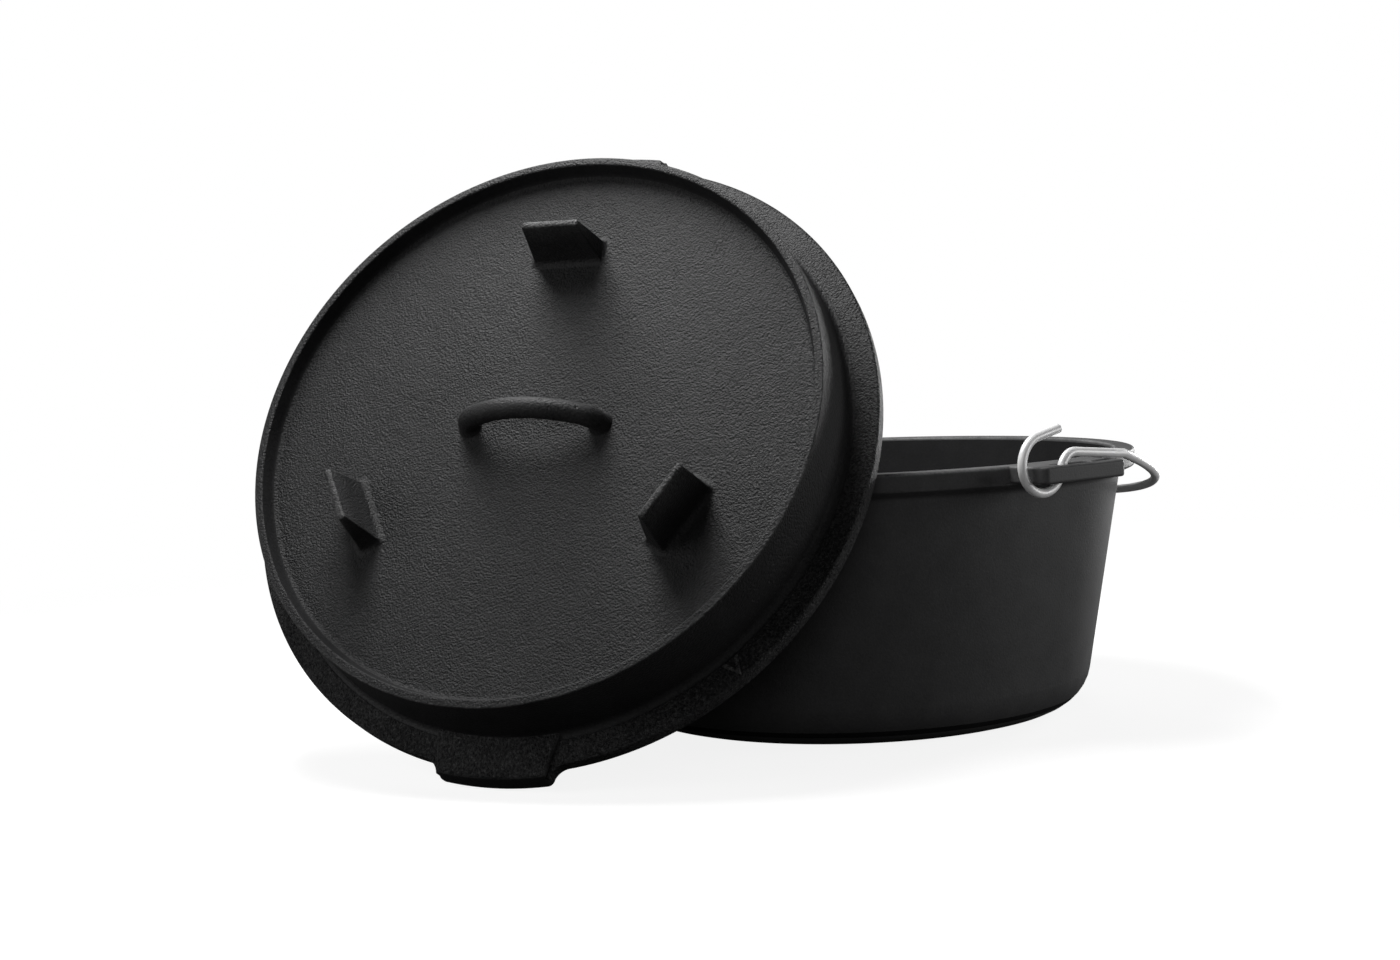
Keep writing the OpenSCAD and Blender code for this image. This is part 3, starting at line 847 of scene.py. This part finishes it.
# %% Feet
FOOT_R, FOOT_H, FOOT_ROOT, FOOT_TIP, FOOT_LEN, FOOT_DRAW = 99.3, 27.5, 11.0, 3.4, 37.4, 3.5
FOOT_SINK, FOOT_FILLET, FOOT_EDGE, FOOT_CORNER, FOOT_GRAIN = 0.8, 3.0, 0.9, 1.2, 0.7
FILLET_STEPS = 5
slices = [(-FOOT_SINK, FOOT_FILLET, 0.0)]
for k in range(FILLET_STEPS + 1):
    a = k * math.pi / 2 / FILLET_STEPS
    slices.append((FOOT_FILLET * (1 - math.cos(a)), FOOT_FILLET * (1 - math.sin(a)), 0.0))
slices += [(FOOT_H / 2, 0.0, 0.0), (FOOT_H - FOOT_EDGE, 0.0, 0.2),
           (FOOT_H - FOOT_EDGE / 3, -FOOT_EDGE / 3, 0.9), (FOOT_H, -FOOT_EDGE, 0.6)]
foot_bm, foot_layers = new_bmesh()
foot_rings = []
for w, spread, wear in slices:
    share = max(0.0, min(1.0, w / FOOT_H))
    thick = FOOT_ROOT / 2 + (FOOT_TIP - FOOT_ROOT) / 2 * share + spread
    along = FOOT_LEN / 2 - FOOT_DRAW * share + spread
    corner = min(FOOT_CORNER + max(0.0, spread), thick * 0.9)
    ring = box_loop(-along, FOOT_R - thick, along, FOOT_R + thick, corner)
    spots = [(x, math.sqrt(r * r - x * x), PLATE_Z + w) for x, r, _, _ in ring]
    foot_rings.append([add_point(foot_bm, foot_layers, p, wear, FOOT_GRAIN) for p in spots])
stack(foot_bm, foot_rings, capped=True)
lid_feet = finished(foot_bm, "lid_feet", as_drawn, FLAT_CREASE)
bake(lid_feet, COPIES, lid_in_metres, {"Count": 3, "Material": LID_IRON})
print("feet:", len(lid_feet.data.polygons), "faces")

# %% [markdown]
# The loop handle is a round bar, cast in one with the plate. Its path is a shoulder, a flat arch and
# a shoulder. The wire tree would carry one section all along it, but this bar swells where it runs
# into the plate, so the rings along the path take their own radius.

# %% Loop handle path
LOOP_HALF, LOOP_RISE, LOOP_SHOULDER, LOOP_SINK = 35.0, 18.5, 12.0, 1.0
SHOULDER_STEPS, ARCH_STEPS = 8, 12
gap = LOOP_HALF - LOOP_SHOULDER
arch_r = (gap ** 2 + LOOP_RISE ** 2 - LOOP_SHOULDER ** 2) / (2 * (LOOP_RISE - LOOP_SHOULDER))
arch_drop = arch_r - LOOP_RISE
arch = math.atan(gap / arch_drop)
loop_side = [(LOOP_HALF, -LOOP_SINK), (LOOP_HALF, 0.0)]
for k in range(1, SHOULDER_STEPS + 1):
    a = (math.pi / 2 - arch) * k / SHOULDER_STEPS
    loop_side.append((gap + LOOP_SHOULDER * math.cos(a), LOOP_SHOULDER * math.sin(a)))
for k in range(1, ARCH_STEPS + 1):
    a = math.pi / 2 - arch * (1 - k / ARCH_STEPS)
    loop_side.append((arch_r * math.cos(a), -arch_drop + arch_r * math.sin(a)))
loop_path = [Vector((x, z, 0)) for x, z in loop_side + mirrored(loop_side[:-1])]
print("loop path:", len(loop_path), "points")

# %% Loop handle
LOOP_D, LOOP_SIDES, LOOP_WEAR, LOOP_GRAIN = 10.5, 28, 0.12, 0.45
ROOT_SWELL, SWELL_RISE = 1.1, 2.6
loop_bm, loop_layers = new_bmesh()
loop_rings = []
for i, p in enumerate(loop_path):
    after, before = loop_path[min(i + 1, len(loop_path) - 1)], loop_path[max(i - 1, 0)]
    along = (after - before).normalized()
    across = Vector((-along.y, along.x, 0))
    radius = LOOP_D / 2 + ROOT_SWELL * max(0.0, 1 - max(0.0, p.y) / SWELL_RISE) ** 2
    ring = []
    for k in range(LOOP_SIDES):
        a = 2 * math.pi * k / LOOP_SIDES
        q = p + across * (radius * math.cos(a)) + Vector((0, 0, radius * math.sin(a)))
        spot = (q.x, -q.z, PLATE_Z + q.y)
        ring.append(add_point(loop_bm, loop_layers, spot, LOOP_WEAR, LOOP_GRAIN))
    loop_rings.append(ring)
stack(loop_bm, loop_rings, capped=True)
lid_loop = finished(loop_bm, "lid_loop", on_lid, BAR_CREASE)
lid_loop.data.materials.append(LID_IRON)
print("loop:", len(lid_loop.data.polygons), "faces")

# %% [markdown]
# A small raised arrow on the flange points outwards. Bump alone could hint at it, but a shape in the
# mesh stays when the materials are left out. It is a flat chevron with softened edges, rubbed all
# over.

# %% Arrow mark
MARK_LEN, MARK_HALF, MARK_NOTCH, MARK_STEM, MARK_IN = 9.5, 4.6, 2.4, 3.8, 1.2
MARK_RISE, MARK_SINK, MARK_EDGE, MARK_GRAIN = 1.0, 0.6, 0.35, 0.6
MARK_BEARING, MARK_RUB = -45, 1.5
tip_r = FLANGE_R - MARK_IN
tail_r = tip_r - MARK_LEN
mark_loop = [(tip_r, 0), (tail_r, MARK_HALF), (tail_r, MARK_NOTCH), (tip_r - MARK_STEM, 0),
             (tail_r, -MARK_NOTCH), (tail_r, -MARK_HALF)]
mark_bm, mark_layers = new_bmesh()
slab(mark_bm, mark_layers, [mark_loop], FLANGE_T - MARK_SINK, FLANGE_T + MARK_RISE, MARK_EDGE,
     MARK_RUB, MARK_GRAIN)
lid_arrow = finished(mark_bm, "lid_arrow", on_lid @ about("Z", MARK_BEARING), FLAT_CREASE)
lid_arrow.data.materials.append(LID_IRON)
for rubbed in lid_arrow.data.attributes["wear"].data:
    rubbed.value = MARK_RUB
print("arrow:", len(lid_arrow.data.polygons), "faces")

# %% [markdown]
# ## The bail
# The bail is one wire. Each end is a hook: it goes down through the slot, round under the ear's end
# and up again, with its tip turned back. Over the ear the wire lies nearly level, and past it the
# hoop drops towards the wall. A curve drawn by hand would not hit the slots, so the path is worked
# out for one side from arcs that touch, and mirrored. The wire tree sweeps a circle along it.

# %% Hook and bend
HOOK_R, HOOK_LIFT, HOOK_SWEEP, HOOK_TIP = 13.8, 0.6, 258.0, 15.0
BEND_R, ARM_H, ARM_SLOPE = 9.0, 5.2, 5.2
HINGE_Y, HINGE_Z = -20.7677, POT_H + HOOK_LIFT
HOOK_STEPS, BEND_STEPS = 56, 14


def arc(middle, radius, start, end, steps):
    """Points of an arc in the upright plane through one ear, angles in degrees, as (y, z)."""
    turns = [math.radians(start + (end - start) * k / steps) for k in range(steps + 1)]
    return [(middle[0] + radius * math.cos(a), middle[1] + radius * math.sin(a)) for a in turns]


arm_fall = math.radians(ARM_SLOPE)
apart = HOOK_R + BEND_R
leave_at = math.asin((BEND_R * math.cos(arm_fall) + HOOK_LIFT - ARM_H) / apart)
leave_degrees = math.degrees(leave_at)
bend_mid = (HINGE_Y + apart * math.cos(leave_at), HINGE_Z - apart * math.sin(leave_at))
ring_arc = arc((HINGE_Y, HINGE_Z), HOOK_R, -HOOK_SWEEP, -leave_degrees, HOOK_STEPS)
end_y, end_z = ring_arc[0]
tip_way = math.radians(-HOOK_SWEEP - 90)
hook_tip = (end_y + HOOK_TIP * math.cos(tip_way), end_z + HOOK_TIP * math.sin(tip_way))
bend_arc = arc(bend_mid, BEND_R, 180 - leave_degrees, 90 - ARM_SLOPE, BEND_STEPS)
hook_part = [Vector((SLOT_X, y, z)) for y, z in [hook_tip] + ring_arc + bend_arc[1:]]
print("hook and bend:", len(hook_part), "points")

# %% Arm and hoop
BAIL_SLOPE, ARM_PAST = 15.4, 14.0
ARM_STEPS, HOOP_STEPS = 8, 40


def hoop_points(start, first, last, fall, steps):
    """Points of the hoop's circle from one turn to another, in a plane that falls from start."""
    points = []
    for k in range(1, steps + 1):
        a = first + (last - first) * k / steps
        y = SLOT_X * (math.sin(a) - math.sin(first))
        step = (SLOT_X * math.cos(a), y * math.cos(fall), -y * math.sin(fall))
        points.append(start + Vector(step))
    return points


bend_end = Vector((0, *bend_arc[-1]))
arm_len = (ear_y + ARM_PAST - bend_end.y) / math.cos(arm_fall)
arm_turn = math.asin(arm_len / SLOT_X)
arm_end = bend_end + Vector((0, arm_len * math.cos(arm_fall), -arm_len * math.sin(arm_fall)))
half_path = hook_part + hoop_points(bend_end, 0.0, arm_turn, arm_fall, ARM_STEPS)
half_path += hoop_points(arm_end, arm_turn, math.pi / 2, math.radians(BAIL_SLOPE), HOOP_STEPS)
bail_path = half_path + [Vector((-p.x, p.y, p.z)) for p in reversed(half_path[:-1])]
print("bail path:", len(bail_path), "points")

# %% Wire
WIRE_D = 4.6
path_mesh = bpy.data.meshes.new("bail_wire")
path_edges = [(i, i + 1) for i in range(len(bail_path) - 1)]
path_mesh.from_pydata([p * MM for p in bail_path], path_edges, [])
bail_wire = new_object("bail_wire", path_mesh)
bake(bail_wire, WIRE, on_ears, {"Diameter": WIRE_D * MM, "Material": BAIL_STEEL})
bail_wire.data.shade_smooth()
bail_wire.data.set_sharp_from_angle(angle=math.radians(BAR_CREASE))
print("bail:", len(bail_wire.data.polygons), "faces")

# %% [markdown]
# ## Bodies
# Each piece rides on the body it belongs to, so it follows when the bail is lifted or the lid is
# taken away. Parenting by hand would do that for one pose, but the frame knows them all. The new
# pieces stand for the plain solids, which are hidden but still collide.

# %% Ride and replace
for piece in (pot_shell, pot_ears):
    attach(piece, "pot")
for piece in (lid_shell, lid_tabs, lid_feet, lid_loop, lid_arrow):
    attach(piece, "lid")
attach(bail_wire, "bail")
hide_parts("pot")
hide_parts("lid")
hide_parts("bail")
print("pieces ride on pot, lid and bail")

# %% [markdown]
# ## Studio
# The photo is a product shot on white. A white room would flood dark iron with light from below, so
# the floor and the backdrop look white to the camera but send little light back, and the undersides
# stay dark. Round the object the floor is a little darker, for a soft shadow.

# %% Floor
FLOOR_HALF, FLOOR_Z = 12.0, -0.0006
FADE_FROM, FADE_TO = 0.35, 1.0
BLACK, WHITE = (0, 0, 0, 1), (1, 1, 1, 1)
FLOOR_PALE, FLOOR_GLOW, FLOOR_DIM = (0.3, 0.3, 0.3, 1), (0.86, 0.86, 0.86, 1), (0.08, 0.08, 0.08, 1)


def only_for_camera(tree, seen, felt):
    """Mixes two closures: one that the camera sees, one that lights the object."""
    ray = tree.nodes.new("ShaderNodeLightPath")
    mix = tree.nodes.new("ShaderNodeMixShader")
    tree.links.new(ray.outputs["Is Camera Ray"], mix.inputs["Fac"])
    tree.links.new(felt, mix.inputs[1])
    tree.links.new(seen, mix.inputs[2])
    return mix.outputs["Shader"]


def floor_material():
    """Pale and softly shaded round the object, fading into the backdrop's white further out."""
    material, tree, pale, place = new_material("studio_floor")
    far = tree.nodes.new("ShaderNodeVectorMath")
    far.operation = "LENGTH"
    tree.links.new(place, far.inputs[0])
    fade = ranged(tree, far.outputs["Value"], FADE_FROM, FADE_TO)
    tree.links.new(mixed(tree, fade, FLOOR_PALE, BLACK), pale.inputs["Base Color"])
    tree.links.new(mixed(tree, fade, FLOOR_GLOW, WHITE), pale.inputs["Emission Color"])
    pale.inputs["Roughness"].default_value = 1.0
    pale.inputs["Specular IOR Level"].default_value = 0.0
    pale.inputs["Emission Strength"].default_value = 1.0
    dim = tree.nodes.new("ShaderNodeBsdfDiffuse")
    dim.inputs["Color"].default_value = FLOOR_DIM
    shader = only_for_camera(tree, pale.outputs["BSDF"], dim.outputs["BSDF"])
    tree.links.new(shader, tree.nodes["Material Output"].inputs["Surface"])
    return material


floor_mesh = bpy.data.meshes.new("studio_floor")
floor_corners = [(x * FLOOR_HALF, y * FLOOR_HALF, FLOOR_Z)
                 for x, y in ((-1, -1), (1, -1), (1, 1), (-1, 1))]
floor_mesh.from_pydata(floor_corners, [], [(0, 1, 2, 3)])
floor_mesh.materials.append(floor_material())
floor = new_object("studio_floor", floor_mesh)
print("floor:", 2 * FLOOR_HALF, "metres across")

# %% World
SKY_FELT, SKY_SEEN = 0.01, 1.0
world = bpy.data.worlds.new("studio_world")
bpy.context.scene.world = world
world.use_nodes = True
world_tree = world.node_tree
sky, backdrop = world_tree.nodes["Background"], world_tree.nodes.new("ShaderNodeBackground")
for node, strength in ((sky, SKY_FELT), (backdrop, SKY_SEEN)):
    node.inputs["Color"].default_value = WHITE
    node.inputs["Strength"].default_value = strength
seen_sky = only_for_camera(world_tree, backdrop.outputs["Background"], sky.outputs["Background"])
world_tree.links.new(seen_sky, world_tree.nodes["World Output"].inputs["Surface"])
bpy.context.scene.view_settings.view_transform = "Standard"
print("world:", world.name)

# %% [markdown]
# A soft box hangs close overhead, so the plate is brightest at its top. Weak fills stand at the left
# and at the front, a low strip at the right shades the wall, and two lights behind draw the bright
# edges of the wall and the rim. One big lamp would be simpler, but it would flatten the iron. Places
# and sizes are in metres, powers in watts.

# %% Lights
OBJECT_MIDDLE = Vector((-0.05, -0.05, 0.13))


def soft_box(name, place, size, power):
    data = bpy.data.lights.new(name, "AREA")
    data.shape = "RECTANGLE"
    data.size, data.size_y = size
    data.energy = power
    facing = (Vector(place) - OBJECT_MIDDLE).normalized().to_track_quat("Z", "Y")
    new_object(name, data).matrix_world = Matrix.Translation(place) @ facing.to_matrix().to_4x4()


soft_box("overhead_box", (-0.25, -0.06, 0.74), (0.45, 0.3), 7.4)
soft_box("left_fill", (-0.95, -0.5, 0.4), (0.6, 0.6), 3.0)
soft_box("front_fill", (-0.25, -1.5, 0.4), (0.7, 0.7), 2.0)
soft_box("right_low_strip", (1.2, -0.1, 0.22), (1.1, 0.35), 4.8)
soft_box("back_edge_strip", (0.8, 0.95, 0.22), (0.35, 0.35), 6.5)
soft_box("back_box", (-0.05, 0.92, 0.65), (0.6, 0.6), 1.5)
